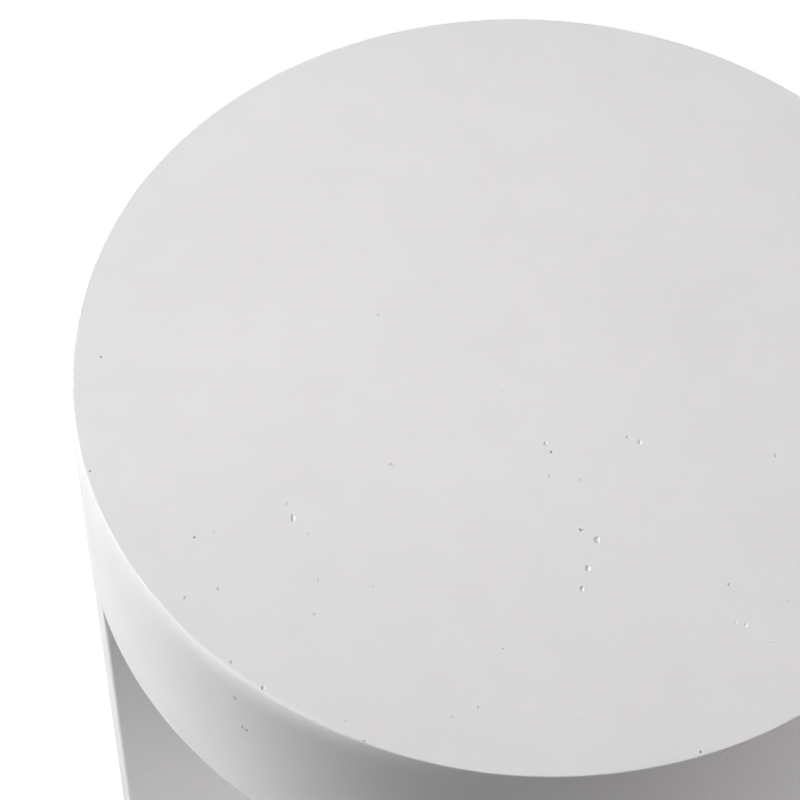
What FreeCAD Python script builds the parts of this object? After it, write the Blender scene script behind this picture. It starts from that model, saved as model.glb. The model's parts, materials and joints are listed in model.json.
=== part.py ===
# Round side table in cast fibre-reinforced concrete.
# A drum-shaped top with a deep rim stands on a cross of two interlocked slabs,
# whose curved ends are flush with the rim. Every casting is a hollow shell.
# Tie rods clamp the stack together, and four screw feet level it on the floor.
# Millimetres, +Z up, origin on the floor under the middle of the table.
import FreeCAD
import Part
import math
import os

from FreeCAD import Vector

# Overall sizes
TABLE_DIAMETER = 457.0
TABLE_HEIGHT = 508.0
RIM_HEIGHT = 114.0
FLOOR_REVEAL = 6.0

# Cast top and the soffit panel that closes it from below
TOP_THICKNESS = 14.0
SKIRT_THICKNESS = 13.0
TOP_EDGE_RADIUS = 1.5
RIM_ARRIS_RADIUS = 0.8
SOFFIT_THICKNESS = 12.0
SOFFIT_REBATE = 6.0
SEAL_WIDTH = 2.5
SEAL_DEPTH = 6.0

# Base slabs, half-lapped at the middle
SLAB_THICKNESS = 110.0
SLAB_WALL = 11.0
SLAB_ARRIS_RADIUS = 2.0
LAP_CLEARANCE = 0.5
LAP_PAD_THICKNESS = 2.0
LAP_PAD_INSET = 5.0

# Foot blocks set into the open undersides of the slabs
FOOT_BLOCK_HEIGHT = 42.0
FOOT_LEDGE = 4.0
FOOT_CLEARANCE = 0.5

# Tie rods with their nuts, washers and cast-in sockets
TIE_ROD_DIAMETER = 10.0
TIE_ROD_INSET = 103.5
TIE_ROD_STANDOUT = 3.0
TIE_ROD_ENGAGEMENT = 30.0
TIE_ROD_CHAMFER = 1.0
ROD_HOLE_CLEARANCE = 1.0
NUT_ACROSS_FLATS = 17.0
NUT_HEIGHT = 8.0
WASHER_DIAMETER = 24.0
WASHER_THICKNESS = 2.5
NUT_POCKET_DIAMETER = 32.0
NUT_POCKET_DEPTH = 22.0
TIE_SOCKET_DIAMETER = 16.0
TIE_SOCKET_LENGTH = 40.0
TIE_BOSS_DIAMETER = 44.0

# Countersunk screws that hold the soffit panel to the top
SOFFIT_SCREW_DIAMETER = 6.0
SOFFIT_SCREW_HEAD_DIAMETER = 12.0
SOFFIT_SCREW_HEAD_HEIGHT = 3.5
SOFFIT_SCREW_LENGTH = 30.0
SOFFIT_SCREW_INSET = 63.5
SCREW_INSERT_DIAMETER = 10.0
SCREW_INSERT_LENGTH = 22.0
SCREW_BOSS_DIAMETER = 28.0
DRIVE_SOCKET_ACROSS_FLATS = 4.0
DRIVE_SOCKET_DEPTH = 2.0

# Dowels that line the slabs up with the soffit panel
DOWEL_DIAMETER = 8.0
DOWEL_DEPTH = 8.0
DOWEL_INSET = 50.5

# Screw feet: a rubber sole, a swivel pad and a ball-ended stud in a flanged insert
FOOT_INSET = 50.5
SOLE_DIAMETER = 40.0
SOLE_THICKNESS = 3.0
PAD_DIAMETER = 44.0
PAD_HEIGHT = 10.0
PAD_EDGE_RADIUS = 1.5
PAD_FLOOR = 2.0
PAD_RECESS_CLEARANCE = 4.0
BALL_DIAMETER = 10.0
BALL_CLEARANCE = 0.1
STUD_DIAMETER = 10.0
STUD_NECK_DIAMETER = 6.0
STUD_NECK_CLEARANCE = 1.0
STUD_HEX_ACROSS_FLATS = 14.0
STUD_HEX_HEIGHT = 4.0
STUD_HEX_LIFT = 1.5
STUD_STANDOUT = 5.0
STUD_CHAMFER = 1.0
FOOT_INSERT_DIAMETER = 14.0
FOOT_INSERT_LENGTH = 24.0
FOOT_FLANGE_DIAMETER = 26.0
FOOT_FLANGE_THICKNESS = 2.0
STOP_GAP = 0.3

# Shared fits
THREAD_CLEARANCE = 0.05
SEAT_CLEARANCE = 0.05
HOLE_END_GAP = 0.5
CUT_OVERRUN = 1.0
EDGE_TOLERANCE = 0.05

# Levels and radii that follow from the sizes above
TABLE_RADIUS = TABLE_DIAMETER / 2
BASE_TOP = TABLE_HEIGHT - RIM_HEIGHT
SOFFIT_TOP = BASE_TOP + SOFFIT_THICKNESS
SOFFIT_SCREW_END = BASE_TOP + SOFFIT_SCREW_LENGTH
PLATE_UNDERSIDE = TABLE_HEIGHT - TOP_THICKNESS
SKIRT_INSIDE = TABLE_RADIUS - SKIRT_THICKNESS
REBATE_RADIUS = SKIRT_INSIDE + SOFFIT_REBATE
SOFFIT_RADIUS = REBATE_RADIUS - SEAL_WIDTH
HALF_SLAB = SLAB_THICKNESS / 2
HALF_POCKET = HALF_SLAB - SLAB_WALL
HALF_SLOT = HALF_SLAB + LAP_CLEARANCE
POCKET_START = HALF_SLOT + SLAB_WALL
POCKET_RADIUS = TABLE_RADIUS - SLAB_WALL
POCKET_TOP = BASE_TOP - SLAB_WALL
LAP_LEVEL = (FLOOR_REVEAL + BASE_TOP) / 2
LAP_FLOOR = LAP_LEVEL - LAP_PAD_THICKNESS / 2
LAP_CEILING = LAP_LEVEL + LAP_PAD_THICKNESS / 2
FOOT_BLOCK_TOP = FLOOR_REVEAL + FOOT_BLOCK_HEIGHT

# Places along an arm, measured from the axis of the table
TIE_ROD_PLACE = TABLE_RADIUS - TIE_ROD_INSET
DOWEL_PLACE = TABLE_RADIUS - DOWEL_INSET
FOOT_PLACE = TABLE_RADIUS - FOOT_INSET
SOFFIT_SCREW_PLACE = TABLE_RADIUS - SOFFIT_SCREW_INSET

# Levels of a screw foot, from the floor up
PAD_TOP = SOLE_THICKNESS + PAD_HEIGHT
BALL_CENTRE = SOLE_THICKNESS + PAD_FLOOR + BALL_DIAMETER / 2 + BALL_CLEARANCE
HEX_LOW = PAD_TOP + STUD_HEX_LIFT
HEX_HIGH = HEX_LOW + STUD_HEX_HEIGHT
FLANGE_LOW = HEX_HIGH + STOP_GAP
RECESS_CEILING = FLANGE_LOW + FOOT_FLANGE_THICKNESS
FOOT_INSERT_TOP = RECESS_CEILING + FOOT_INSERT_LENGTH
STUD_TOP = FOOT_INSERT_TOP + STUD_STANDOUT

# Levels of a tie rod
NUT_POCKET_CEILING = FLOOR_REVEAL + NUT_POCKET_DEPTH
WASHER_LOW = NUT_POCKET_CEILING - WASHER_THICKNESS
NUT_LOW = WASHER_LOW - NUT_HEIGHT
TIE_ROD_LOW = NUT_LOW - TIE_ROD_STANDOUT
TIE_ROD_HIGH = SOFFIT_TOP + TIE_ROD_ENGAGEMENT

# The arms of the cross, and the screws between them, as turns about the axis in degrees
ARM_ANGLES = {"right": 0.0, "back": 90.0, "left": 180.0, "front": 270.0}
QUARTER_TURN = 90.0
BETWEEN_ARMS = 45.0

# Hexagons: the turned face of a nut is a little narrower than its flats, and the corners slope down to it
HEX_SIDES = 6
HEX_FACE_SHARE = 0.95
HEX_CHAMFER_ANGLE = math.radians(30.0)


def turned(shape, angle):
    """A copy of the shape, turned about the axis of the table."""
    copy = shape.copy()
    copy.rotate(Vector(0, 0, 0), Vector(0, 0, 1), angle)
    return copy


def on_each_arm(shape, offset=0.0):
    """Four copies of the shape, one on each arm, as one group."""
    return Part.makeCompound([turned(shape, angle + offset) for angle in ARM_ANGLES.values()])


def cylinder(diameter, low, high, place=0.0):
    """An upright cylinder on the right arm, at that distance from the axis."""
    return Part.makeCylinder(diameter / 2, high - low, Vector(place, 0, low))


def arm_block(start, end_radius, half_width, low, high):
    """A block along the right arm, from start out to a curved end."""
    box = Part.makeBox(end_radius - start, 2 * half_width, high - low, Vector(start, -half_width, low))
    return box.common(cylinder(2 * end_radius, low, high))


def middle_block(half_length, half_width, low, high):
    """A block centred on the axis of the table."""
    corner = Vector(-half_length, -half_width, low)
    return Part.makeBox(2 * half_length, 2 * half_width, high - low, corner)


def hexagon(across_flats, low, high, place=0.0):
    """An upright hexagonal prism on the right arm."""
    corner_radius = across_flats / 2 / math.cos(math.pi / HEX_SIDES)
    angles = [2 * math.pi * side / HEX_SIDES for side in range(HEX_SIDES + 1)]
    corners = [
        Vector(place + corner_radius * math.cos(a), corner_radius * math.sin(a), low) for a in angles
    ]
    return Part.Face(Part.makePolygon(corners)).extrude(Vector(0, 0, high - low))


def chamfered_hexagon(across_flats, low, high, place):
    """A hexagon whose corners slope down to a round face at both ends, as on a nut."""
    face_radius = HEX_FACE_SHARE * across_flats / 2
    corner_radius = across_flats / 2 / math.cos(math.pi / HEX_SIDES)
    slope = (corner_radius - face_radius) * math.tan(HEX_CHAMFER_ANGLE)
    profile = [
        Vector(0, 0, low),
        Vector(face_radius, 0, low),
        Vector(corner_radius, 0, low + slope),
        Vector(corner_radius, 0, high - slope),
        Vector(face_radius, 0, high),
        Vector(0, 0, high),
        Vector(0, 0, low),
    ]
    turning = Part.Face(Part.makePolygon(profile)).revolve(Vector(0, 0, 0), Vector(0, 0, 1))
    turning.translate(Vector(place, 0, 0))
    return hexagon(across_flats, low, high, place).common(turning)


def edges_at(shape, level):
    """The edges that lie flat at one level."""
    return [
        edge
        for edge in shape.Edges
        if abs(edge.BoundBox.ZMin - level) < EDGE_TOLERANCE
        and abs(edge.BoundBox.ZMax - level) < EDGE_TOLERANCE
    ]


def upright_edges(shape):
    """The straight edges that stand along the axis."""
    return [
        edge
        for edge in shape.Edges
        if edge.BoundBox.XLength < EDGE_TOLERANCE and edge.BoundBox.YLength < EDGE_TOLERANCE
    ]


def top_shell():
    """The drum: a round plate with a deep skirt, and bosses under the plate for the fasteners."""
    drum = cylinder(TABLE_DIAMETER, BASE_TOP, TABLE_HEIGHT)
    drum = drum.makeFillet(TOP_EDGE_RADIUS, edges_at(drum, TABLE_HEIGHT))
    drum = drum.makeFillet(RIM_ARRIS_RADIUS, edges_at(drum, BASE_TOP))
    drum = drum.cut(cylinder(2 * SKIRT_INSIDE, BASE_TOP - CUT_OVERRUN, PLATE_UNDERSIDE))
    drum = drum.cut(cylinder(2 * REBATE_RADIUS, BASE_TOP - CUT_OVERRUN, SOFFIT_TOP))
    tie_boss = cylinder(TIE_BOSS_DIAMETER, SOFFIT_TOP, PLATE_UNDERSIDE, TIE_ROD_PLACE)
    screw_boss = cylinder(SCREW_BOSS_DIAMETER, SOFFIT_TOP, PLATE_UNDERSIDE, SOFFIT_SCREW_PLACE)
    drum = drum.fuse([on_each_arm(tie_boss), on_each_arm(screw_boss, BETWEEN_ARMS)])
    tie_seat = cylinder(
        TIE_SOCKET_DIAMETER + 2 * SEAT_CLEARANCE,
        SOFFIT_TOP - CUT_OVERRUN,
        SOFFIT_TOP + TIE_SOCKET_LENGTH,
        TIE_ROD_PLACE,
    )
    screw_seat = cylinder(
        SCREW_INSERT_DIAMETER + 2 * SEAT_CLEARANCE,
        SOFFIT_TOP - CUT_OVERRUN,
        SOFFIT_TOP + SCREW_INSERT_LENGTH,
        SOFFIT_SCREW_PLACE,
    )
    screw_end = cylinder(
        SOFFIT_SCREW_DIAMETER + 2 * SEAT_CLEARANCE,
        SOFFIT_TOP - CUT_OVERRUN,
        SOFFIT_SCREW_END + HOLE_END_GAP,
        SOFFIT_SCREW_PLACE,
    )
    screw_room = screw_seat.fuse(screw_end)
    drum = drum.cut(on_each_arm(tie_seat)).cut(on_each_arm(screw_room, BETWEEN_ARMS))
    return drum.removeSplitter()


def countersunk_screw(clearance=0.0):
    """A soffit screw, head down. With a clearance, the hole that it passes through."""
    head_radius = SOFFIT_SCREW_HEAD_DIAMETER / 2 + clearance
    shank_radius = SOFFIT_SCREW_DIAMETER / 2 + clearance
    seat = Vector(SOFFIT_SCREW_PLACE, 0, BASE_TOP)
    head = Part.makeCone(head_radius, shank_radius, SOFFIT_SCREW_HEAD_HEIGHT, seat)
    shank = Part.makeCylinder(shank_radius, SOFFIT_SCREW_LENGTH, seat)
    return head.fuse(shank)


def soffit_panel():
    """The round panel that closes the drum and bears on the slabs."""
    panel = cylinder(2 * SOFFIT_RADIUS, BASE_TOP, SOFFIT_TOP)
    rod_hole = cylinder(
        TIE_ROD_DIAMETER + 2 * ROD_HOLE_CLEARANCE,
        BASE_TOP - CUT_OVERRUN,
        SOFFIT_TOP + CUT_OVERRUN,
        TIE_ROD_PLACE,
    )
    dowel_hole = cylinder(
        DOWEL_DIAMETER + 2 * SEAT_CLEARANCE,
        BASE_TOP - CUT_OVERRUN,
        BASE_TOP + DOWEL_DEPTH + HOLE_END_GAP,
        DOWEL_PLACE,
    )
    screw_hole = countersunk_screw(SEAT_CLEARANCE)
    panel = panel.cut(on_each_arm(rod_hole)).cut(on_each_arm(dowel_hole))
    return panel.cut(on_each_arm(screw_hole, BETWEEN_ARMS))


def soffit_seal():
    """The ring of sealant between the soffit panel and the skirt."""
    seal_top = BASE_TOP + SEAL_DEPTH
    ring = cylinder(2 * REBATE_RADIUS, BASE_TOP, seal_top)
    return ring.cut(cylinder(2 * SOFFIT_RADIUS, BASE_TOP - CUT_OVERRUN, seal_top + CUT_OVERRUN))


def soffit_screws():
    """Four countersunk screws with a hexagon drive."""
    drive = hexagon(
        DRIVE_SOCKET_ACROSS_FLATS,
        BASE_TOP - CUT_OVERRUN,
        BASE_TOP + DRIVE_SOCKET_DEPTH,
        SOFFIT_SCREW_PLACE,
    )
    return on_each_arm(countersunk_screw().cut(drive), BETWEEN_ARMS)


def soffit_screw_inserts():
    """Four threaded inserts cast into the small bosses of the top."""
    bore_diameter = SOFFIT_SCREW_DIAMETER + 2 * THREAD_CLEARANCE
    bore_end = SOFFIT_SCREW_END + HOLE_END_GAP
    insert = cylinder(
        SCREW_INSERT_DIAMETER, SOFFIT_TOP, SOFFIT_TOP + SCREW_INSERT_LENGTH, SOFFIT_SCREW_PLACE
    )
    bore = cylinder(bore_diameter, SOFFIT_TOP - CUT_OVERRUN, bore_end, SOFFIT_SCREW_PLACE)
    return on_each_arm(insert.cut(bore), BETWEEN_ARMS)


def slab_blank():
    """A slab along X with curved ends and eased edges, before its slot and pockets."""
    blank = middle_block(TABLE_RADIUS, HALF_SLAB, FLOOR_REVEAL, BASE_TOP)
    blank = blank.common(cylinder(TABLE_DIAMETER, FLOOR_REVEAL, BASE_TOP))
    blank = blank.makeFillet(SLAB_ARRIS_RADIUS, upright_edges(blank))
    return blank.makeFillet(SLAB_ARRIS_RADIUS, edges_at(blank, FLOOR_REVEAL))


def arm_hollow():
    """What is taken out of a slab's right arm: its pocket, its foot seat and its top holes."""
    pocket = arm_block(
        POCKET_START, POCKET_RADIUS, HALF_POCKET, FLOOR_REVEAL - CUT_OVERRUN, POCKET_TOP
    )
    seat = arm_block(
        POCKET_START - FOOT_LEDGE,
        POCKET_RADIUS + FOOT_LEDGE,
        HALF_POCKET + FOOT_LEDGE,
        FLOOR_REVEAL - CUT_OVERRUN,
        FOOT_BLOCK_TOP,
    )
    rod_hole = cylinder(
        TIE_ROD_DIAMETER + 2 * ROD_HOLE_CLEARANCE,
        POCKET_TOP - CUT_OVERRUN,
        BASE_TOP + CUT_OVERRUN,
        TIE_ROD_PLACE,
    )
    dowel_hole = cylinder(
        DOWEL_DIAMETER + 2 * SEAT_CLEARANCE,
        BASE_TOP - DOWEL_DEPTH - HOLE_END_GAP,
        BASE_TOP + CUT_OVERRUN,
        DOWEL_PLACE,
    )
    return pocket.fuse([seat, rod_hole, dowel_hole])


def hollowed(slab):
    """A slab with both of its arms hollowed out."""
    hollow = arm_hollow()
    return slab.cut(hollow).cut(turned(hollow, 2 * QUARTER_TURN))


def main_slab():
    """The slab along X. Its slot is open at the top, and its middle is hollow from below."""
    slot = middle_block(HALF_SLOT, TABLE_RADIUS, LAP_FLOOR, BASE_TOP + CUT_OVERRUN)
    middle = middle_block(HALF_SLOT, HALF_POCKET, FLOOR_REVEAL - CUT_OVERRUN, LAP_FLOOR - SLAB_WALL)
    return hollowed(slab_blank()).cut(slot).cut(middle)


def cross_slab():
    """The slab along Y. Its slot is open at the bottom, and its middle is hollow from above."""
    slot = middle_block(HALF_SLOT, TABLE_RADIUS, FLOOR_REVEAL - CUT_OVERRUN, LAP_CEILING)
    middle = middle_block(HALF_SLOT, HALF_POCKET, LAP_CEILING + SLAB_WALL, BASE_TOP + CUT_OVERRUN)
    return turned(hollowed(slab_blank()).cut(slot).cut(middle), QUARTER_TURN)


def lap_pad():
    """The rubber pad between the two slabs, where one rests on the other."""
    half = HALF_SLAB - LAP_PAD_INSET
    return middle_block(half, half, LAP_FLOOR, LAP_CEILING)


def alignment_dowels():
    """Four steel dowels, half in a slab and half in the soffit panel."""
    return on_each_arm(
        cylinder(DOWEL_DIAMETER, BASE_TOP - DOWEL_DEPTH, BASE_TOP + DOWEL_DEPTH, DOWEL_PLACE)
    )


def foot_block():
    """The cast block at the foot of an arm, with a nut pocket and a seat for the screw foot."""
    block = arm_block(
        POCKET_START - FOOT_LEDGE + FOOT_CLEARANCE,
        POCKET_RADIUS + FOOT_LEDGE - FOOT_CLEARANCE,
        HALF_POCKET + FOOT_LEDGE - FOOT_CLEARANCE,
        FLOOR_REVEAL,
        FOOT_BLOCK_TOP,
    )
    low = FLOOR_REVEAL - CUT_OVERRUN
    high = FOOT_BLOCK_TOP + CUT_OVERRUN
    nut_pocket = cylinder(NUT_POCKET_DIAMETER, low, NUT_POCKET_CEILING, TIE_ROD_PLACE)
    rod_hole = cylinder(TIE_ROD_DIAMETER + 2 * ROD_HOLE_CLEARANCE, low, high, TIE_ROD_PLACE)
    recess = cylinder(PAD_DIAMETER + 2 * PAD_RECESS_CLEARANCE, low, RECESS_CEILING, FOOT_PLACE)
    insert_hole = cylinder(FOOT_INSERT_DIAMETER + 2 * SEAT_CLEARANCE, low, high, FOOT_PLACE)
    return block.cut([nut_pocket, rod_hole, recess, insert_hole])


def tie_rod():
    """The threaded rod that clamps foot block, slab and soffit panel to the top."""
    rod = cylinder(TIE_ROD_DIAMETER, TIE_ROD_LOW, TIE_ROD_HIGH, TIE_ROD_PLACE)
    return rod.makeChamfer(TIE_ROD_CHAMFER, edges_at(rod, TIE_ROD_LOW) + edges_at(rod, TIE_ROD_HIGH))


def tie_rod_washers():
    """Four washers under the nuts of the tie rods."""
    hole_diameter = TIE_ROD_DIAMETER + 2 * ROD_HOLE_CLEARANCE
    disc = cylinder(WASHER_DIAMETER, WASHER_LOW, NUT_POCKET_CEILING, TIE_ROD_PLACE)
    hole = cylinder(
        hole_diameter, WASHER_LOW - CUT_OVERRUN, NUT_POCKET_CEILING + CUT_OVERRUN, TIE_ROD_PLACE
    )
    return on_each_arm(disc.cut(hole))


def tie_rod_nuts():
    """Four hexagon nuts on the lower ends of the tie rods."""
    bore_diameter = TIE_ROD_DIAMETER + 2 * THREAD_CLEARANCE
    nut = chamfered_hexagon(NUT_ACROSS_FLATS, NUT_LOW, WASHER_LOW, TIE_ROD_PLACE)
    bore = cylinder(bore_diameter, NUT_LOW - CUT_OVERRUN, WASHER_LOW + CUT_OVERRUN, TIE_ROD_PLACE)
    return on_each_arm(nut.cut(bore))


def tie_rod_sockets():
    """Four threaded sockets cast into the large bosses of the top."""
    bore_diameter = TIE_ROD_DIAMETER + 2 * THREAD_CLEARANCE
    socket = cylinder(TIE_SOCKET_DIAMETER, SOFFIT_TOP, SOFFIT_TOP + TIE_SOCKET_LENGTH, TIE_ROD_PLACE)
    bore = cylinder(
        bore_diameter, SOFFIT_TOP - CUT_OVERRUN, TIE_ROD_HIGH + HOLE_END_GAP, TIE_ROD_PLACE
    )
    return on_each_arm(socket.cut(bore))


def foot_inserts():
    """Four flanged, threaded inserts that the screw feet turn in."""
    flange = cylinder(FOOT_FLANGE_DIAMETER, FLANGE_LOW, RECESS_CEILING, FOOT_PLACE)
    sleeve = cylinder(FOOT_INSERT_DIAMETER, FLANGE_LOW, FOOT_INSERT_TOP, FOOT_PLACE)
    bore = cylinder(
        STUD_DIAMETER + 2 * THREAD_CLEARANCE,
        FLANGE_LOW - CUT_OVERRUN,
        FOOT_INSERT_TOP + CUT_OVERRUN,
        FOOT_PLACE,
    )
    return on_each_arm(flange.fuse(sleeve).cut(bore).removeSplitter())


def foot_stud():
    """The ball-ended stud of a screw foot, with the hexagon that turns it."""
    ball = Part.makeSphere(BALL_DIAMETER / 2, Vector(FOOT_PLACE, 0, BALL_CENTRE))
    neck = cylinder(STUD_NECK_DIAMETER, BALL_CENTRE, HEX_LOW, FOOT_PLACE)
    head = chamfered_hexagon(STUD_HEX_ACROSS_FLATS, HEX_LOW, HEX_HIGH, FOOT_PLACE)
    shank = cylinder(STUD_DIAMETER, HEX_HIGH, STUD_TOP, FOOT_PLACE)
    shank = shank.makeChamfer(STUD_CHAMFER, edges_at(shank, STUD_TOP))
    return ball.fuse([neck, head, shank]).removeSplitter()


def foot_pad():
    """The swivel pad of a screw foot, with the socket that its ball snaps into and room for its neck."""
    pad = cylinder(PAD_DIAMETER, SOLE_THICKNESS, PAD_TOP, FOOT_PLACE)
    pad = pad.makeFillet(PAD_EDGE_RADIUS, edges_at(pad, PAD_TOP))
    socket_radius = BALL_DIAMETER / 2 + BALL_CLEARANCE
    socket = Part.makeSphere(socket_radius, Vector(FOOT_PLACE, 0, BALL_CENTRE))
    neck_diameter = STUD_NECK_DIAMETER + 2 * STUD_NECK_CLEARANCE
    neck_room = cylinder(neck_diameter, BALL_CENTRE, PAD_TOP + CUT_OVERRUN, FOOT_PLACE)
    return pad.cut(socket.fuse(neck_room))


def foot_sole():
    """The rubber disc under a screw foot."""
    return cylinder(SOLE_DIAMETER, 0, SOLE_THICKNESS, FOOT_PLACE)


def all_pieces():
    """Every piece of the table by name."""
    pieces = {
        "top_shell": top_shell(),
        "soffit_panel": soffit_panel(),
        "soffit_seal": soffit_seal(),
        "soffit_screws": soffit_screws(),
        "soffit_screw_inserts": soffit_screw_inserts(),
        "main_slab": main_slab(),
        "cross_slab": cross_slab(),
        "lap_pad": lap_pad(),
        "alignment_dowels": alignment_dowels(),
        "tie_rod_washers": tie_rod_washers(),
        "tie_rod_nuts": tie_rod_nuts(),
        "tie_rod_sockets": tie_rod_sockets(),
        "foot_inserts": foot_inserts(),
    }
    per_arm = {
        "foot_block": foot_block(),
        "tie_rod": tie_rod(),
        "foot_stud": foot_stud(),
        "foot_pad": foot_pad(),
        "foot_sole": foot_sole(),
    }
    for arm, angle in ARM_ANGLES.items():
        for name, shape in per_arm.items():
            pieces[f"{name}_{arm}"] = turned(shape, angle)
    return pieces


def main():
    os.makedirs("parts", exist_ok=True)
    for name, shape in all_pieces().items():
        shape.exportStep(os.path.join("parts", f"{name}.step"))
        print(f"{name}: {len(shape.Solids)} solids, {shape.Volume:.0f} mm3, valid {shape.isValid()}")


main()
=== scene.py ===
# Looks of the round side table: pitted cast concrete, its steel, nylon and rubber hardware, and the studio.
# Everything is in metres, in the same frame as the solids.
import json
import math
import random

import bmesh
import bpy
from mathutils import Matrix, Quaternion, Vector, noise
from mathutils.geometry import delaunay_2d_cdt


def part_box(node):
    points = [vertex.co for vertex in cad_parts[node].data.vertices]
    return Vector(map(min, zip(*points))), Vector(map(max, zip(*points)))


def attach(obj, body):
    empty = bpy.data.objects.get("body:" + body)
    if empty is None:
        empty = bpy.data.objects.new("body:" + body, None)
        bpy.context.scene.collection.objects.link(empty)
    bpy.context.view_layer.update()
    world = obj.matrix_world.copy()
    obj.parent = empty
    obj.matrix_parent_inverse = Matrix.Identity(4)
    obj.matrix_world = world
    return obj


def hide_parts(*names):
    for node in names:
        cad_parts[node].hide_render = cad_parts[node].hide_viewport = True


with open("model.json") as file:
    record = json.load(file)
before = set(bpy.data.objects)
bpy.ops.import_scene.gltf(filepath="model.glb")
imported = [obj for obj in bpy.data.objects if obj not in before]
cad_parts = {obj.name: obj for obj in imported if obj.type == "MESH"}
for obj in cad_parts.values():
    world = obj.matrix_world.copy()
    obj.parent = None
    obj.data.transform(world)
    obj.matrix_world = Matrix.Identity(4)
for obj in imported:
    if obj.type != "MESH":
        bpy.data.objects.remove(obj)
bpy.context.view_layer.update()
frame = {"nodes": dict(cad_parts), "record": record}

MM = 0.001
JOIN_DISTANCE = MM / 1000
SHARP_ANGLE = math.radians(35)

# Sizes read from the frame
TOP_LOW, TOP_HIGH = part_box("top_shell")
SLAB_LOW, SLAB_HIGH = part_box("main_slab")
RADIUS = (TOP_HIGH.x - TOP_LOW.x) / 2
TOP_Z = TOP_HIGH.z
RIM_Z = TOP_LOW.z
SLAB_Z = SLAB_LOW.z
HALF_SLAB = (SLAB_HIGH.y - SLAB_LOW.y) / 2

# The cast top, with the shoulder that sanding leaves below its edge: worn and rounder at the front left,
# and with a rim whose upper part leans in on the left
EDGE_RADIUS = 0.6 * MM
WORN_EDGE_GAIN = 1.6 * MM
SHOULDER_INSET = 0.25 * MM
SHOULDER_DEPTH = 14 * MM
SHOULDER_POWER = 3
SHOULDER_UNEVENNESS = 0.9
SHOULDER_WAVELENGTH = 130 * MM
WORN_INSET = 1.75 * MM
WORN_MIDDLE = math.radians(228)
WORN_HALF_WIDTH = math.radians(38)
WORN_EDGE_HALF_WIDTH = math.radians(25)
LEAN_INSET = 1.6 * MM
LEAN_DEPTH = 55 * MM
LEAN_START, LEAN_END = math.radians(184), math.radians(202)
LEAN_FADE_IN, LEAN_FADE_OUT = math.radians(48), math.radians(24)
RIM_ARRIS = 0.8 * MM
SKIN_DEPTH = 3 * MM
SKIN_TOLERANCE = MM / 100
TOP_SEGMENTS = 288
ARC_STEPS = 6
RIM_ROW_HEIGHT = 8 * MM
SHOULDER_ROW_SHARES = (0.06, 0.14, 0.24, 0.36, 0.5, 0.66, 0.82, 1.0)
FIELD_SPACING = 9 * MM
FIELD_MARGIN = 1.2 * MM
FIELD_TOLERANCE = 1e-9
KEEP_INSIDE = 1
TOP_WAVE = 0.10 * MM
TOP_WAVELENGTH = 75 * MM
RIM_WAVE = 0.22 * MM
RIM_WAVELENGTH = 90 * MM

# The camera, fitted to the photograph of 800 by 800 pixels
PHOTO_SIZE = 800
SENSOR_WIDTH = 36.0
LENS = 126.71
CAMERA_REACH = 1.3929
CAMERA_AZIMUTH = math.radians(-11.22)
CAMERA_ELEVATION = math.radians(54.28)
CAMERA_PITCH = math.radians(55.21)
CAMERA_YAW = math.radians(-4.59)
CAMERA_ROLL = math.radians(1.70)

# Air pits read from the photograph: pixel x, pixel y, width and height in pixels
TOP_PITS = (
    (195, 538, 4, 3), (214, 533, 2, 3), (287, 504, 2, 4), (293, 518, 4, 8), (218, 589, 3, 3),
    (185, 598, 4, 3), (318, 580, 2, 4), (314, 615, 3, 4), (373, 587, 2, 2), (231, 662, 3, 3),
    (263, 688, 4, 4), (345, 735, 3, 3), (386, 752, 3, 2), (453, 717, 4, 3), (478, 708, 3, 3),
    (391, 465, 4, 4), (582, 531, 4, 4), (597, 540, 6, 7), (582, 589, 4, 6), (729, 585, 3, 3),
    (503, 649, 2, 2), (440, 662, 2, 2), (502, 392, 2, 2), (378, 315, 2, 2),
)
FAINT_PITS = (
    (308, 534, 3, 4), (231, 670, 2, 3), (545.6, 443.5, 4, 5), (550, 477, 3, 6), (628, 437, 4, 4),
    (640, 442, 4, 6), (588, 568, 6, 6), (736, 622, 3, 4), (746, 625, 3, 4), (773, 643, 3, 3),
    (789, 602, 3, 3), (776, 456, 4, 5), (580, 480, 3, 4),
)
RIM_PITS = (
    (235, 698, 4, 3), (243, 727, 3, 4), (247, 730, 3, 3), (726, 758.5, 3, 3),
)
# Narrow, deep and therefore dark ones: pixel x, pixel y and width in pixels
PINHOLES = (
    (101, 357, 2.2), (90, 471, 2.2), (551, 452, 2.6), (313, 721, 2.2), (345.5, 721.3, 1.8),
    (364.4, 741, 2.2), (700.5, 752, 2.4), (580, 529.5, 2.2), (194, 537, 1.9), (184.5, 597.5, 1.9),
    (231.2, 663.2, 1.8), (263.2, 688.2, 1.9),
)
PIT_SPREAD = 1.05

# Depths of the pits: a share of their width, and the most for those that have one
TOP_PIT_DEPTH = 0.58 * MM
TOP_PIT_DEPTH_SHARE = 0.45
FAINT_DEPTH_SHARE = 0.2
PINHOLE_DEPTH_SHARE = 1.3
RIM_PIT_DEPTH = 0.5 * MM
PIT_DEPTH = 0.65 * MM
PIT_DEPTH_SHARE = 0.6

# The pits' lumpy form
PIT_SUBDIVISIONS = 3
PIT_LUMP = 0.22
PIT_LUMP_SCALE = 1.6
PIT_STRETCH = (0.7, 1.4)
NOISE_SHIFT = 100

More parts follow.
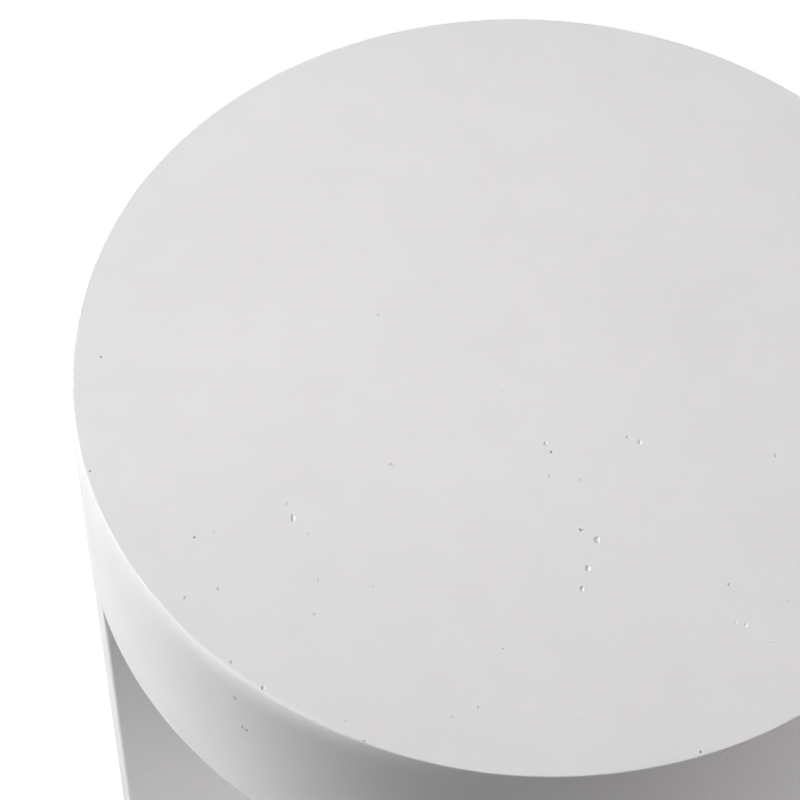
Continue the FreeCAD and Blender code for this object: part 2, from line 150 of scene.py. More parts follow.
# Air pits that the photograph doesn't show: how many on the rest of the top, on the rest of the rim,
# on each side of an arm and on each arm's end, where they are, and their widths
PIT_SEED = 11
HIDDEN_TOP_PITS = 14
RIM_PIT_COUNT = 34
ARM_SIDE_PIT_COUNT = 11
ARM_END_PIT_COUNT = 7
HIDDEN_TOP_ANGLES = (math.radians(-20), math.radians(25))
HIDDEN_TOP_SHARES = (0.75, 0.97)
HIDDEN_RIM_ANGLES = (math.radians(-30), math.radians(185))
ARM_END_SHARE = 0.9
PIT_CLEARANCE = 4 * MM
SLAB_PIT_SEEDS = {"main_slab": 21, "cross_slab": 31}
SMALL_PIT = (0.8 * MM, 1.7 * MM)
LARGE_PIT = (1.8 * MM, 3.6 * MM)
LARGE_PIT_SHARE = 0.12

# Screw threads of the studs and the tie rods
ARMS = ("right", "back", "left", "front")
THREAD_RADIUS = 5 * MM
THREAD_PITCH = 1.5 * MM
THREAD_DEPTH = 0.85 * MM
THREAD_ROOT = 0.1 * MM
THREAD_OVERRUN = 0.2 * MM
THREAD_HALF_ANGLE = math.radians(30)
THREAD_STEPS = 32
STUD_THREAD_LENGTH = 30 * MM
ROD_LOW_THREAD_LENGTH = 18 * MM
ROD_HIGH_THREAD_LENGTH = 34 * MM


def top_centre():
    return Vector((0, 0, TOP_Z))


def camera_axes():
    """The camera's right, up and forward directions."""
    heading = CAMERA_YAW - CAMERA_AZIMUTH
    flat = math.cos(CAMERA_PITCH)
    forward = Vector((math.sin(heading) * flat, math.cos(heading) * flat, -math.sin(CAMERA_PITCH)))
    level = Vector((math.cos(heading), -math.sin(heading), 0))
    over = level.cross(forward)
    right = math.cos(CAMERA_ROLL) * level + math.sin(CAMERA_ROLL) * over
    up = math.cos(CAMERA_ROLL) * over - math.sin(CAMERA_ROLL) * level
    return right, up, forward


def camera_place():
    flat = math.cos(CAMERA_ELEVATION)
    back = Vector(
        (math.sin(CAMERA_AZIMUTH) * flat, -math.cos(CAMERA_AZIMUTH) * flat, math.sin(CAMERA_ELEVATION))
    )
    return top_centre() + back * CAMERA_REACH


def make_camera():
    right, up, forward = camera_axes()
    data = bpy.data.cameras.new("camera")
    data.lens = LENS
    data.sensor_width = SENSOR_WIDTH
    camera = bpy.data.objects.new("camera", data)
    turn = Matrix((right, up, -forward)).transposed().to_4x4()
    camera.matrix_world = Matrix.Translation(camera_place()) @ turn
    bpy.context.scene.collection.objects.link(camera)
    bpy.context.scene.camera = camera


def pixel_ray(x, y):
    """The direction from the camera through a pixel of the photograph."""
    right, up, forward = camera_axes()
    pixels = LENS / SENSOR_WIDTH * PHOTO_SIZE
    middle = PHOTO_SIZE / 2
    return (forward + right * ((x - middle) / pixels) - up * ((y - middle) / pixels)).normalized()


def on_top(x, y):
    """The point of the top's plane that a pixel shows."""
    eye = camera_place()
    ray = pixel_ray(x, y)
    return eye + ray * ((TOP_Z - eye.z) / ray.z)


def on_rim(x, y):
    """The point of the rim's cylinder that a pixel shows."""
    eye = camera_place()
    ray = pixel_ray(x, y)
    a = ray.x**2 + ray.y**2
    b = 2 * (eye.x * ray.x + eye.y * ray.y)
    c = eye.x**2 + eye.y**2 - RADIUS**2
    return eye + ray * ((-b - math.sqrt(b * b - 4 * a * c)) / (2 * a))


def in_photo(place, outward):
    """Whether the photograph shows a place on the base, past the edge of the top."""
    sight = camera_place() - place
    if sight.dot(outward) < 0 or (place + sight * ((RIM_Z - place.z) / sight.z)).xy.length < RADIUS:
        return False
    right, up, forward = camera_axes()
    half = SENSOR_WIDTH / LENS / 2 * abs(sight.dot(forward))
    return abs(sight.dot(right)) < half and abs(sight.dot(up)) < half


def new_object(name, mesh):
    piece = bpy.data.objects.new(name, mesh)
    bpy.context.scene.collection.objects.link(piece)
    return piece


def object_from(name, bm):
    bmesh.ops.recalc_face_normals(bm, faces=bm.faces)
    mesh = bpy.data.meshes.new(name)
    bm.to_mesh(mesh)
    bm.free()
    return new_object(name, mesh)


def arc(start, end):
    """Even angles from start to end, in degrees."""
    return [math.radians(start + (end - start) * step / ARC_STEPS) for step in range(ARC_STEPS + 1)]


def fade(share):
    """A soft fall from 1 to 0 as the share goes from 0 to 1."""
    return math.cos(min(max(share, 0), 1) * math.pi / 2) ** 2


def shoulder(angle):
    """How far the top's edge stands in from the rim: sanded unevenly, and most at the front left."""
    place = Vector((math.cos(angle) * RADIUS, math.sin(angle) * RADIUS, 0)) / SHOULDER_WAVELENGTH
    inset = SHOULDER_INSET * (1 + SHOULDER_UNEVENNESS * noise.noise(place))
    return inset + WORN_INSET * fade(abs(angle - WORN_MIDDLE) / WORN_HALF_WIDTH)


def edge_rounding(angle):
    """The radius of the top's edge, larger where it is worn."""
    return EDGE_RADIUS + WORN_EDGE_GAIN * fade(abs(angle - WORN_MIDDLE) / WORN_EDGE_HALF_WIDTH)


def lean(angle):
    """How far the upper part of the rim leans in on the left."""
    return LEAN_INSET * fade(max((LEAN_START - angle) / LEAN_FADE_IN, (angle - LEAN_END) / LEAN_FADE_OUT))


def side_radius(angle, depth):
    """The rim's radius at a depth below its rounded edge."""
    worn = shoulder(angle) * max(0, 1 - depth / SHOULDER_DEPTH) ** SHOULDER_POWER
    return RADIUS - worn - lean(angle) * max(0, 1 - depth / LEAN_DEPTH) ** SHOULDER_POWER


def top_outside(angle):
    """The outer profile of the cast top from its edge down to its underside, as (radius, height)."""
    rate = shoulder(angle) / SHOULDER_DEPTH + lean(angle) / LEAN_DEPTH
    slope = math.degrees(math.atan(SHOULDER_POWER * rate))
    turns = arc(0, 90 - slope)
    rounding = edge_rounding(angle)
    edge_radius = side_radius(angle, 0) - rounding * math.sin(turns[-1])
    edge_z = TOP_Z - rounding
    rows = [(edge_radius + rounding * math.sin(a), edge_z + rounding * math.cos(a)) for a in turns]
    start = rows[-1][1]
    for share in SHOULDER_ROW_SHARES:
        depth = share * SHOULDER_DEPTH
        rows.append((side_radius(angle, depth), start - depth))
    high, low = rows[-1][1], RIM_Z + RIM_ARRIS
    count = round((TOP_Z - RIM_Z - SHOULDER_DEPTH) / RIM_ROW_HEIGHT)
    for step in range(1, count):
        z = high + (low - high) * step / count
        rows.append((side_radius(angle, start - z), z))
    arris = RADIUS - RIM_ARRIS
    rows += [(arris + RIM_ARRIS * math.cos(a), low - RIM_ARRIS * math.sin(a)) for a in arc(0, 90)]
    return rows


def rim_wave(angle, z):
    """How far the hand-finished rim strays from a true cylinder."""
    place = Vector((math.cos(angle) * RADIUS, math.sin(angle) * RADIUS, z)) / RIM_WAVELENGTH
    return RIM_WAVE * noise.noise(place)


def top_wave(x, y):
    """How far the hand-finished top strays from a true plane."""
    return TOP_WAVE * noise.noise(Vector((x, y, 0)) / TOP_WAVELENGTH)


def outer_rings(bm):
    """The rings of the outer profile, from the edge down."""
    columns = []
    for step in range(TOP_SEGMENTS):
        angle = 2 * math.pi * step / TOP_SEGMENTS
        column = []
        for radius, z in top_outside(angle):
            r = radius + rim_wave(angle, z)
            column.append(bm.verts.new((r * math.cos(angle), r * math.sin(angle), z)))
        columns.append(column)
    return list(zip(*columns))


def on_skin(face):
    """Whether a face of the top's solid is on its outside."""
    middle = face.calc_center_median()
    outer = middle.xy.length > RADIUS - SKIN_DEPTH
    return outer or middle.z > TOP_Z - SKIN_DEPTH or middle.z < RIM_Z + SKIN_TOLERANCE


def top_hollow():
    """The inside of the top's solid with its bosses, open at the rebate for the soffit."""
    bm = bmesh.new()
    bm.from_mesh(frame["nodes"]["top_shell"].data)
    bmesh.ops.remove_doubles(bm, verts=bm.verts, dist=JOIN_DISTANCE)
    bmesh.ops.delete(bm, geom=[face for face in bm.faces if on_skin(face)], context="FACES")
    return bm


def field_points(radius):
    """An even field of points within a circle, clear of its edge."""
    row_height = FIELD_SPACING * math.sqrt(3) / 2
    rows = int(radius / row_height)
    points = []
    for row in range(-rows, rows + 1):
        shift = FIELD_SPACING / 2 * (row % 2)
        half = math.sqrt(max(0, (radius - FIELD_SPACING / 2) ** 2 - (row * row_height) ** 2))
        count = int(half / FIELD_SPACING)
        points += [(column * FIELD_SPACING + shift, row * row_height) for column in range(-count, count + 1)]
    return [Vector(p) for p in points if Vector(p).length < radius - FIELD_SPACING / 2]


def fill_top(bm, ring):
    """Fills the edge ring with the slightly waved field of the top."""
    guard = [v.co.xy * (1 - FIELD_MARGIN / v.co.xy.length) for v in ring]
    points = [v.co.xy for v in ring] + guard + field_points(guard[0].length)
    edges = [(i, (i + 1) % len(ring)) for i in range(len(ring))]
    places, _, faces, sources, _, _ = delaunay_2d_cdt(points, edges, [], KEEP_INSIDE, FIELD_TOLERANCE)
    verts = []
    for place, source in zip(places, sources):
        if source and source[0] < len(ring):
            verts.append(ring[source[0]])
        else:
            verts.append(bm.verts.new((*place, TOP_Z + top_wave(*place))))
    for face in faces:
        bm.faces.new([verts[i] for i in face])


def cast_top():
    """The round top as one closed shell, before its pits."""
    bm = top_hollow()
    rebate = [edge for edge in bm.edges if edge.is_boundary]
    rings = outer_rings(bm)
    for upper, lower in zip(rings, rings[1:]):
        for step in range(TOP_SEGMENTS):
            after = (step + 1) % TOP_SEGMENTS
            bm.faces.new((upper[step], upper[after], lower[after], lower[step]))
    lowest = [bm.edges.get((rings[-1][step], rings[-1][step - 1])) for step in range(TOP_SEGMENTS)]
    bmesh.ops.triangle_fill(bm, edges=rebate + lowest, use_beauty=True, normal=(0, 0, -1))
    fill_top(bm, rings[0])
    return object_from("cast_top", bm)


def cad_copy(node, name):
    """A copy of a node's mesh as one closed surface."""
    bm = bmesh.new()
    bm.from_mesh(frame["nodes"][node].data)
    bmesh.ops.remove_doubles(bm, verts=bm.verts, dist=JOIN_DISTANCE)
    return object_from(name, bm)


def take_out(piece, cutter):
    """Takes one closed object out of another, and shades what is left."""
    cut = piece.modifiers.new("cut", "BOOLEAN")
    cut.operation = "DIFFERENCE"
    cut.solver = "EXACT"
    cut.use_self = True
    cut.object = cutter
    graph = bpy.context.evaluated_depsgraph_get()
    carved = bpy.data.meshes.new_from_object(piece.evaluated_get(graph))
    piece.modifiers.clear()
    piece.data = carved
    bpy.data.objects.remove(cutter)
    carved.shade_smooth()
    carved.set_sharp_from_angle(angle=SHARP_ANGLE)


def even_normals(piece):
    """Lets large faces lead the shading, so that small ones beside them don't dent it."""
    shading = piece.modifiers.new("shading", "WEIGHTED_NORMAL")
    shading.keep_sharp = True


class Pits:
    """Small lumpy hollows, gathered in one mesh that is then taken out of a casting."""

    def __init__(self, seed):
        self.bm = bmesh.new()
        self.random = random.Random(seed)

    def width(self):
        chosen = LARGE_PIT if self.random.random() < LARGE_PIT_SHARE else SMALL_PIT
        return self.random.uniform(*chosen)

    def add(self, place, normal, width, height=None, turn=None, depth=None):
        """A pit sunk into the surface at a place. A height or turn that isn't given is drawn at random."""
        height = height or width * self.random.uniform(*PIT_STRETCH)
        turn = self.random.uniform(0, math.pi) if turn is None else turn
        depth = depth or min(PIT_DEPTH, PIT_DEPTH_SHARE * min(width, height))
        shift = Vector([self.random.uniform(0, NOISE_SHIFT) for _ in range(3)])
        aim = Vector((0, 0, 1)).rotation_difference(normal) @ Quaternion((0, 0, 1), turn)
        lump = bmesh.ops.create_icosphere(self.bm, subdivisions=PIT_SUBDIVISIONS, radius=1)
        for vert in lump["verts"]:
            swell = 1 + PIT_LUMP * noise.noise(vert.co * PIT_LUMP_SCALE + shift)
            size = Vector((vert.co.x * width / 2, vert.co.y * height / 2, vert.co.z * depth))
            vert.co = place + aim @ (size * swell)

    def add_unseen(self, place, outward):
        """A pit on the base, unless the photograph shows that place clear."""
        if not in_photo(place, outward):
            self.add(place, outward, self.width())

    def carve(self, piece):
        """Takes the pits out of the piece."""
        take_out(piece, object_from(piece.name + "_pits", self.bm))
        even_normals(piece)


def pixel_size(place):
    """The length that one pixel of the photograph shows at a place, square to the view."""
    return (place - camera_place()).length * SENSOR_WIDTH / LENS / PHOTO_SIZE


def pit_top(piece):
    """The top's and the rim's pits: those of the photograph, and others where it doesn't reach."""
    pits = Pits(PIT_SEED)
    up = Vector((0, 0, 1))
    heading = math.atan2(camera_axes()[0].y, camera_axes()[0].x)
    for group, share in ((TOP_PITS, TOP_PIT_DEPTH_SHARE), (FAINT_PITS, FAINT_DEPTH_SHARE)):
        for x, y, wide, high in group:
            place = on_top(x, y)
            unit = pixel_size(place) * PIT_SPREAD
            depth = min(TOP_PIT_DEPTH, share * min(wide, high) * unit)
            pits.add(place, up, wide * unit, high * unit / math.sin(CAMERA_PITCH), heading, depth)
    for x, y, wide in PINHOLES:
        place = on_top(x, y)
        width = wide * pixel_size(place)
        pits.add(place, up, width, width / math.sin(CAMERA_PITCH), heading, PINHOLE_DEPTH_SHARE * width)
    for x, y, wide, high in RIM_PITS:
        place = on_rim(x, y)
        outward = Vector((place.x, place.y, 0)).normalized()
        unit = pixel_size(place) * PIT_SPREAD
        upright = math.atan2(outward.y, outward.x) + math.pi / 2
        pits.add(place, outward, wide * unit, high * unit / math.cos(CAMERA_PITCH), upright, RIM_PIT_DEPTH)
    place_random = random.Random(PIT_SEED + 1)
    for _ in range(HIDDEN_TOP_PITS):
        angle = place_random.uniform(*HIDDEN_TOP_ANGLES)
        reach = RADIUS * place_random.uniform(*HIDDEN_TOP_SHARES)
        pits.add(Vector((reach * math.cos(angle), reach * math.sin(angle), TOP_Z)), up, pits.width())
    for _ in range(RIM_PIT_COUNT):
        angle = place_random.uniform(*HIDDEN_RIM_ANGLES)
        z = place_random.uniform(RIM_Z + PIT_CLEARANCE, TOP_Z - PIT_CLEARANCE)
        outward = Vector((math.cos(angle), math.sin(angle), 0))
        pits.add(outward * RADIUS + Vector((0, 0, z)), outward, pits.width())
    pits.carve(piece)


def pit_slab(piece, seed, turn):
    """Pits over the sides and the curved ends of a slab that lies along X before it is turned."""
    pits = Pits(seed)
    spin = Quaternion((0, 0, 1), turn)
    place_random = random.Random(seed + 1)
    corner = math.sqrt(RADIUS**2 - HALF_SLAB**2)
    half_angle = math.asin(HALF_SLAB / RADIUS)
    low, high = SLAB_Z + PIT_CLEARANCE, RIM_Z - PIT_CLEARANCE
    for end in (-1, 1):
        for side in (-1, 1):
            for _ in range(ARM_SIDE_PIT_COUNT):
                x = end * place_random.uniform(HALF_SLAB + PIT_CLEARANCE, corner - PIT_CLEARANCE)
                z = place_random.uniform(low, high)
                pits.add_unseen(spin @ Vector((x, side * HALF_SLAB, z)), spin @ Vector((0, side, 0)))
        for _ in range(ARM_END_PIT_COUNT):
            angle = place_random.uniform(-half_angle, half_angle) * ARM_END_SHARE
            z = place_random.uniform(low, high)
            outward = spin @ Vector((end * math.cos(angle), math.sin(angle), 0))
            pits.add_unseen(outward * RADIUS + Vector((0, 0, z)), outward)
    pits.carve(piece)


def wind_groove(bm, axis, low, high):
    """The groove of a right-handed thread between two heights, as a bar wound round an upright axis."""
    mouth = THREAD_ROOT + (THREAD_DEPTH + THREAD_OVERRUN) * math.tan(THREAD_HALF_ANGLE)
    outer, inner = THREAD_RADIUS + THREAD_OVERRUN, THREAD_RADIUS - THREAD_DEPTH
    section = ((outer, -mouth), (outer, mouth), (inner, THREAD_ROOT), (inner, -THREAD_ROOT))
    rings = []
    for step in range(round((high - low) / THREAD_PITCH * THREAD_STEPS) + 1):
        angle = 2 * math.pi * step / THREAD_STEPS
        z = low + THREAD_PITCH * step / THREAD_STEPS
        x, y = math.cos(angle), math.sin(angle)
        rings.append([bm.verts.new((axis.x + r * x, axis.y + r * y, z + rise)) for r, rise in section])
    for first, second in zip(rings, rings[1:]):
        for i in range(len(section)):
            bm.faces.new((first[i - 1], first[i], second[i], second[i - 1]))
    bm.faces.new(rings[0])
    bm.faces.new(rings[-1])


def threaded(node, name, runs):
    """A copy of a node's upright bar with threads between the given heights."""
    low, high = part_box(node)
    bm = bmesh.new()
    for run_low, run_high in runs:
        wind_groove(bm, (low + high) / 2, run_low, run_high)
    piece = cad_copy(node, name)
    take_out(piece, object_from(name + "_groove", bm))
    return piece


def make_threads(material):
    """Threaded studs and tie rods: those of the right arm, and the same turned to the other arms."""
    stud_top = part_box("foot_stud_right")[1].z
    rod_low, rod_high = (corner.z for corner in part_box("tie_rod_right"))
    stud_runs = [(stud_top - STUD_THREAD_LENGTH, stud_top + THREAD_PITCH)]
    rod_runs = [
        (rod_low - THREAD_PITCH, rod_low + ROD_LOW_THREAD_LENGTH),
        (rod_high - ROD_HIGH_THREAD_LENGTH, rod_high + THREAD_PITCH),
    ]
    for node, runs, body in (("foot_stud_", stud_runs, "screw_"), ("tie_rod_", rod_runs, None)):
        first = threaded(node + ARMS[0], "threaded_" + node + ARMS[0], runs)
        pieces = [first]
        for quarter, arm in enumerate(ARMS[1:], 1):
            mesh = first.data.copy()
            mesh.transform(Matrix.Rotation(quarter * math.pi / 2, 4, "Z"))
            pieces.append(new_object("threaded_" + node + arm, mesh))
        for piece, arm in zip(pieces, ARMS):
            even_normals(piece)
            stand_for(piece, node + arm, body + arm if body else "table", material)


def add_node(tree, kind, inputs=None, **settings):
    """A shader node with its settings, and its inputs linked or set by name."""
    made = tree.nodes.new(kind)
    for name, value in settings.items():
        setattr(made, name, value)
    for name, value in (inputs or {}).items():
        if isinstance(value, bpy.types.NodeSocket):
            tree.links.new(value, made.inputs[name])
        else:
            made.inputs[name].default_value = value
    return made


def new_material(name):
    """An empty node material, its tree and its Principled shader."""
    made = bpy.data.materials.new(name)
    made.use_nodes = True
    return made, made.node_tree, made.node_tree.nodes["Principled BSDF"]


def noise_texture(tree, coords, wavelength, detail=3.0, roughness=0.55):
    """Even noise between 0 and 1 with features of about the given size."""
    made = add_node(
        tree,
        "ShaderNodeTexNoise",
        {"Vector": coords, "Scale": 1 / wavelength, "Detail": detail, "Roughness": roughness},
    )
    return made.outputs["Fac"]


def math_node(tree, operation, a, b):
    made = add_node(tree, "ShaderNodeMath", operation=operation)
    for socket, value in zip(made.inputs, (a, b)):
        if isinstance(value, bpy.types.NodeSocket):
            tree.links.new(value, socket)
        else:
            socket.default_value = value
    return made.outputs[0]


def weighted(tree, *terms):
    """The sum of noise outputs, each times its weight."""
    total = None
    for socket, weight in terms:
        term = math_node(tree, "MULTIPLY", socket, weight)
        total = term if total is None else math_node(tree, "ADD", total, term)
    return total


def spread(tree, value, tones, to_low, to_high):
    """The value mapped from one range to another, held within it."""
    low, high = tones
    made = add_node(
        tree,
        "ShaderNodeMapRange",
        {"Value": value, "From Min": low, "From Max": high, "To Min": to_low, "To Max": to_high},
    )
    return made.outputs["Result"]


def blend_colours(tree, factor, first, second):
    made = add_node(tree, "ShaderNodeMix", data_type="RGBA")
    tree.links.new(factor, made.inputs["Factor"])
    for name, value in (("A", first), ("B", second)):
        socket = next(s for s in made.inputs if s.name == name and s.type == "RGBA")
        if isinstance(value, bpy.types.NodeSocket):
            tree.links.new(value, socket)
        else:
            socket.default_value = (*value, 1)
    return next(s for s in made.outputs if s.type == "RGBA")


def add_skin(tree, shader, height, strength, distance):
    """Lets a height bump the surface."""
    settings = {"Height": height, "Strength": strength, "Distance": distance}
    skin = add_node(tree, "ShaderNodeBump", settings)
    tree.links.new(skin.outputs["Normal"], shader.inputs["Normal"])


# Sizes of the materials' patterns, how their noises are weighed, and the part of a noise's range that is used
CLOUD_SIZE = 110 * MM
BLOTCH_SIZE = 24 * MM
GRAIN_SIZE = 1.3 * MM
SPECK_SIZE = 2.2 * MM
CLOUD_WEIGHT, BLOTCH_WEIGHT, GRAIN_WEIGHT = 0.5, 0.35, 0.15
GRAIN_RELIEF, BLOTCH_RELIEF = 0.5, 0.6
CONCRETE_RELIEF = 0.3 * MM
CONCRETE_TONES = (0.38, 0.62)
CONCRETE_SPECULAR = 0.3
CONCRETE_ROUGHNESS_SWING = 0.06
SPECK_TONES = (0.74, 0.8)
SPECK_STRENGTH = 0.4
STEEL_PATCH_SIZE = 6 * MM
STEEL_FINE_SIZE = 0.5 * MM
STEEL_PATCH_WEIGHT, STEEL_FINE_WEIGHT = 0.6, 0.4
STEEL_RELIEF = 0.1 * MM
STEEL_BUMP = 0.1
STEEL_SMOOTHER, STEEL_ROUGHER = 0.1, 0.12
MOULD_PATCH_SIZE = 12 * MM
PEBBLE_SIZE = 0.6 * MM
MOULD_PATCH_WEIGHT, PEBBLE_WEIGHT = 0.7, 0.3
PEBBLE_RELIEF = 0.15 * MM
MOULD_ROUGHNESS_SWING = 0.08
WIDE_TONES = (0.3, 0.7)


def concrete_material(name, dark, light, speck, rough, bump):
    """Cast concrete: cloudy colour, fine sandy grain, a few darker grains and a faint skin relief."""
    made, tree, shader = new_material(name)
    coords = add_node(tree, "ShaderNodeTexCoord").outputs["Object"]
    clouds = noise_texture(tree, coords, CLOUD_SIZE, detail=4)
    blotches = noise_texture(tree, coords, BLOTCH_SIZE, detail=4)
    grain = noise_texture(tree, coords, GRAIN_SIZE, detail=3)
    specks = noise_texture(tree, coords, SPECK_SIZE, detail=1, roughness=0.3)
    tone = weighted(tree, (clouds, CLOUD_WEIGHT), (blotches, BLOTCH_WEIGHT), (grain, GRAIN_WEIGHT))
    body = blend_colours(tree, spread(tree, tone, CONCRETE_TONES, 0, 1), dark, light)
    dots = spread(tree, specks, SPECK_TONES, 0, SPECK_STRENGTH)
    tree.links.new(blend_colours(tree, dots, body, speck), shader.inputs["Base Color"])
    swing = CONCRETE_ROUGHNESS_SWING
    dull = spread(tree, blotches, WIDE_TONES, rough - swing, rough + swing)
    tree.links.new(dull, shader.inputs["Roughness"])
    shader.inputs["Specular IOR Level"].default_value = CONCRETE_SPECULAR
    relief = weighted(tree, (grain, GRAIN_RELIEF), (blotches, BLOTCH_RELIEF))
    add_skin(tree, shader, relief, bump, CONCRETE_RELIEF)
    return made


def metal_material(name, dark, light, rough):
    """Zinc-plated steel: a fine brushed tone with duller patches."""
    made, tree, shader = new_material(name)
    coords = add_node(tree, "ShaderNodeTexCoord").outputs["Object"]
    patches = noise_texture(tree, coords, STEEL_PATCH_SIZE, detail=4)
    fine = noise_texture(tree, coords, STEEL_FINE_SIZE, detail=2)
    tone = weighted(tree, (patches, STEEL_PATCH_WEIGHT), (fine, STEEL_FINE_WEIGHT))
    body = blend_colours(tree, spread(tree, tone, WIDE_TONES, 0, 1), dark, light)
    tree.links.new(body, shader.inputs["Base Color"])
    shader.inputs["Metallic"].default_value = 1.0
    dull = spread(tree, tone, WIDE_TONES, rough - STEEL_SMOOTHER, rough + STEEL_ROUGHER)
    tree.links.new(dull, shader.inputs["Roughness"])
    add_skin(tree, shader, fine, STEEL_BUMP, STEEL_RELIEF)
    return made


def moulded_material(name, dark, light, rough, bump):
    """Moulded nylon, rubber or sealant: an even tone with a fine pebbled skin."""
    made, tree, shader = new_material(name)
    coords = add_node(tree, "ShaderNodeTexCoord").outputs["Object"]
    patches = noise_texture(tree, coords, MOULD_PATCH_SIZE, detail=3)
    pebbles = noise_texture(tree, coords, PEBBLE_SIZE, detail=2)
    tone = weighted(tree, (patches, MOULD_PATCH_WEIGHT), (pebbles, PEBBLE_WEIGHT))
    body = blend_colours(tree, spread(tree, tone, WIDE_TONES, 0, 1), dark, light)
    tree.links.new(body, shader.inputs["Base Color"])
    swing = MOULD_ROUGHNESS_SWING
    dull = spread(tree, patches, WIDE_TONES, rough - swing, rough + swing)
    tree.links.new(dull, shader.inputs["Roughness"])
    add_skin(tree, shader, pebbles, bump, PEBBLE_RELIEF)
    return made


def make_materials():
    """One material for each slot of the record."""
    return {
        "concrete": concrete_material(
            "cast_concrete",
            dark=(0.738, 0.723, 0.727),
            light=(0.766, 0.751, 0.755),
            speck=(0.64, 0.62, 0.62),
            rough=0.82,
            bump=0.12,
        ),
        "foot_concrete": concrete_material(
            "rough_concrete",
            dark=(0.50, 0.495, 0.485),
            light=(0.60, 0.595, 0.585),
            speck=(0.40, 0.39, 0.38),
            rough=0.88,
            bump=0.45,
        ),
        "steel": metal_material(
            "plated_steel", dark=(0.46, 0.46, 0.45), light=(0.66, 0.65, 0.63), rough=0.34
        ),
        "nylon": moulded_material(
            "black_nylon", dark=(0.028, 0.028, 0.030), light=(0.045, 0.045, 0.047), rough=0.5, bump=0.12
        ),
        "rubber": moulded_material(
            "black_rubber", dark=(0.018, 0.018, 0.018), light=(0.032, 0.031, 0.030), rough=0.85, bump=0.3
        ),
        "sealant": moulded_material(
            "grey_sealant", dark=(0.56, 0.55, 0.54), light=(0.62, 0.61, 0.60), rough=0.6, bump=0.1
        ),
    }


def dress_nodes(materials):
    """Gives every node the material of its slot."""
    slots = {s["node"]: s["material_slot"] for s in frame["record"]["subparts"]}
    for name, node in frame["nodes"].items():
        node.data.materials.clear()
        node.data.materials.append(materials[slots[name]])


def stand_for(piece, node, body, material):
    """Puts a piece in the place of a node."""
    piece.data.materials.clear()
    piece.data.materials.append(material)
    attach(piece, body)
    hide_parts(node)


def make_castings(materials):
    """The pitted top and slabs, in the place of their nodes."""
    top = cast_top()
    pit_top(top)
    stand_for(top, "top_shell", "table", materials["concrete"])
    for node, turn in (("main_slab", 0), ("cross_slab", math.pi / 2)):
        slab = cad_copy(node, "cast_" + node)
        pit_slab(slab, SLAB_PIT_SEEDS[node], turn)
        stand_for(slab, node, "table", materials["concrete"])


# Studio lamps: name, azimuth, elevation, distance, width, height, spread, watts, colour, and the part that it
# is aimed at. Azimuth counts from the camera's side to its right, and elevation from the horizon.
WHITE = (1, 1, 1)
WARM_WHITE = (1, 0.975, 0.98)
LAMPS = (
    ("left", -85, 20, 2.0, 0.8, 1.0, 40, 2.3, WHITE, "above"),
    ("far_left", -100, 12, 3.0, 1.0, 1.0, 34, 3.85, WHITE, "above"),
    ("near_left", -100, 58, 1.2, 0.6, 0.6, 180, 2.45, WHITE, "top"),
    ("back_left", -140, 50, 1.3, 0.6, 0.6, 180, 1.9, WHITE, "top"),
    ("back", 165, 45, 1.2, 0.6, 0.6, 180, 1.2, WHITE, "top"),
    ("front_left", -60, 40, 2.0, 0.8, 0.8, 180, 7.4, WHITE, "top"),
    ("front", -20, 78, 2.4, 1.2, 1.0, 180, 6.3, WHITE, "top"),
    ("right", 71, 10, 2.2, 1.0, 1.2, 180, 19.6, WARM_WHITE, "top"),
    ("low_strip", -28, 4, 1.8, 0.5, 0.2, 26, 0.43, WHITE, "base"),
    ("under", 0, -90, 2.6, 0.4, 0.4, 180, 16.0, WHITE, "top"),
)
ABOVE_AIM = 0.35
BASE_AIM_SHARES = (-0.57, -0.44, 0.24)
WORLD_LIGHT = 0.003
FLOOR_SIZE = 30.0
FLOOR_DROP = 0.5 * MM
FLOOR_COLOUR = 0.40
FLOOR_LIFT = 0.84
FLOOR_FADE = (0.7, 2.5)
FLOOR_ROUGHNESS = 0.9


def lamp_aim(part):
    """The middle of the top, a place above it, or one low in the open quarter that the photograph shows."""
    if part == "top":
        return top_centre()
    if part == "above":
        return top_centre() + Vector((0, 0, ABOVE_AIM))
    across, along, up = BASE_AIM_SHARES
    return Vector((across * RADIUS, along * RADIUS, up * TOP_Z))


def make_lamps():
    for name, azimuth, elevation, distance, width, height, cone, watts, colour, part in LAMPS:
        a = CAMERA_AZIMUTH + math.radians(azimuth)
        e = math.radians(elevation)
        back = Vector((math.sin(a) * math.cos(e), -math.cos(a) * math.cos(e), math.sin(e)))
        data = bpy.data.lights.new(name, "AREA")
        data.shape = "RECTANGLE"
        data.size = width
        data.size_y = height
        data.spread = math.radians(cone)
        data.energy = watts
        data.color = colour
        lamp = bpy.data.objects.new(name, data)
        lamp.location = lamp_aim(part) + back * distance
        lamp.rotation_mode = "QUATERNION"
        lamp.rotation_quaternion = (-back).to_track_quat("-Z", "Y")
        bpy.context.scene.collection.objects.link(lamp)


def seen_directly(tree):
    """1 for what the camera, a reflection or clear glass sees, and 0 for light that falls on things."""
    path = add_node(tree, "ShaderNodeLightPath")
    seen = math_node(tree, "MAXIMUM", path.outputs["Is Camera Ray"], path.outputs["Is Glossy Ray"])
    return math_node(tree, "MAXIMUM", seen, path.outputs["Is Transmission Ray"])


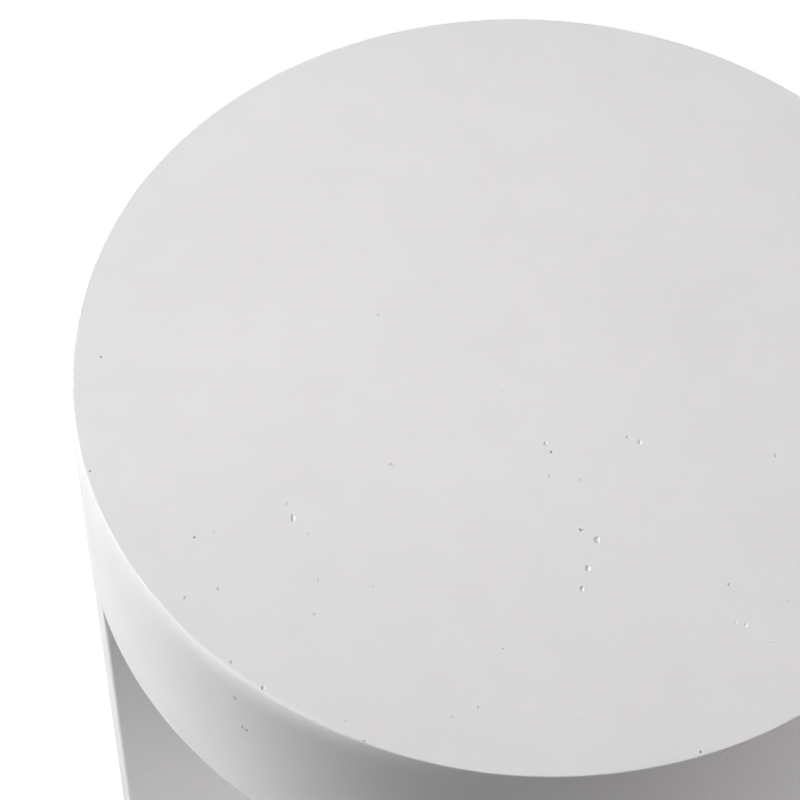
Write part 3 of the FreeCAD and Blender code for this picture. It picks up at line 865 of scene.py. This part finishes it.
def make_world():
    world = bpy.data.worlds.new("studio")
    world.use_nodes = True
    bpy.context.scene.world = world
    tree = world.node_tree
    background = tree.nodes["Background"]
    background.inputs["Color"].default_value = (1, 1, 1, 1)
    tree.links.new(spread(tree, seen_directly(tree), (0, 1), WORLD_LIGHT, 1), background.inputs["Strength"])


def make_floor():
    """A pale floor that reads as white, more so far off, and keeps the shadow.

    It isn't seen from below, and lets the light of the lamp under it through.
    """
    bm = bmesh.new()
    bmesh.ops.create_grid(bm, x_segments=1, y_segments=1, size=FLOOR_SIZE / 2)
    floor = object_from("floor", bm)
    floor.location.z = -FLOOR_DROP
    made, tree, shader = new_material("studio_floor")
    shader.inputs["Base Color"].default_value = (FLOOR_COLOUR, FLOOR_COLOUR, FLOOR_COLOUR, 1)
    shader.inputs["Roughness"].default_value = FLOOR_ROUGHNESS
    shader.inputs["Specular IOR Level"].default_value = 0
    shader.inputs["Emission Color"].default_value = (1, 1, 1, 1)
    geometry = add_node(tree, "ShaderNodeNewGeometry")
    reach = add_node(tree, "ShaderNodeVectorMath", {0: geometry.outputs["Position"]}, operation="LENGTH")
    lift = spread(tree, reach.outputs["Value"], FLOOR_FADE, FLOOR_LIFT, 1)
    lift = math_node(tree, "MULTIPLY", seen_directly(tree), lift)
    tree.links.new(lift, shader.inputs["Emission Strength"])
    clear = add_node(tree, "ShaderNodeBsdfTransparent")
    shadow_ray = add_node(tree, "ShaderNodeLightPath").outputs["Is Shadow Ray"]
    open_to = math_node(tree, "MAXIMUM", geometry.outputs["Backfacing"], shadow_ray)
    mixed = add_node(tree, "ShaderNodeMixShader", {"Fac": open_to})
    tree.links.new(shader.outputs["BSDF"], mixed.inputs[1])
    tree.links.new(clear.outputs["BSDF"], mixed.inputs[2])
    tree.links.new(mixed.outputs[0], tree.nodes["Material Output"].inputs["Surface"])
    floor.data.materials.append(made)


def main():
    bpy.context.scene.view_settings.view_transform = "Standard"
    materials = make_materials()
    dress_nodes(materials)
    make_castings(materials)
    make_threads(materials["steel"])
    make_camera()
    make_lamps()
    make_world()
    make_floor()


main()
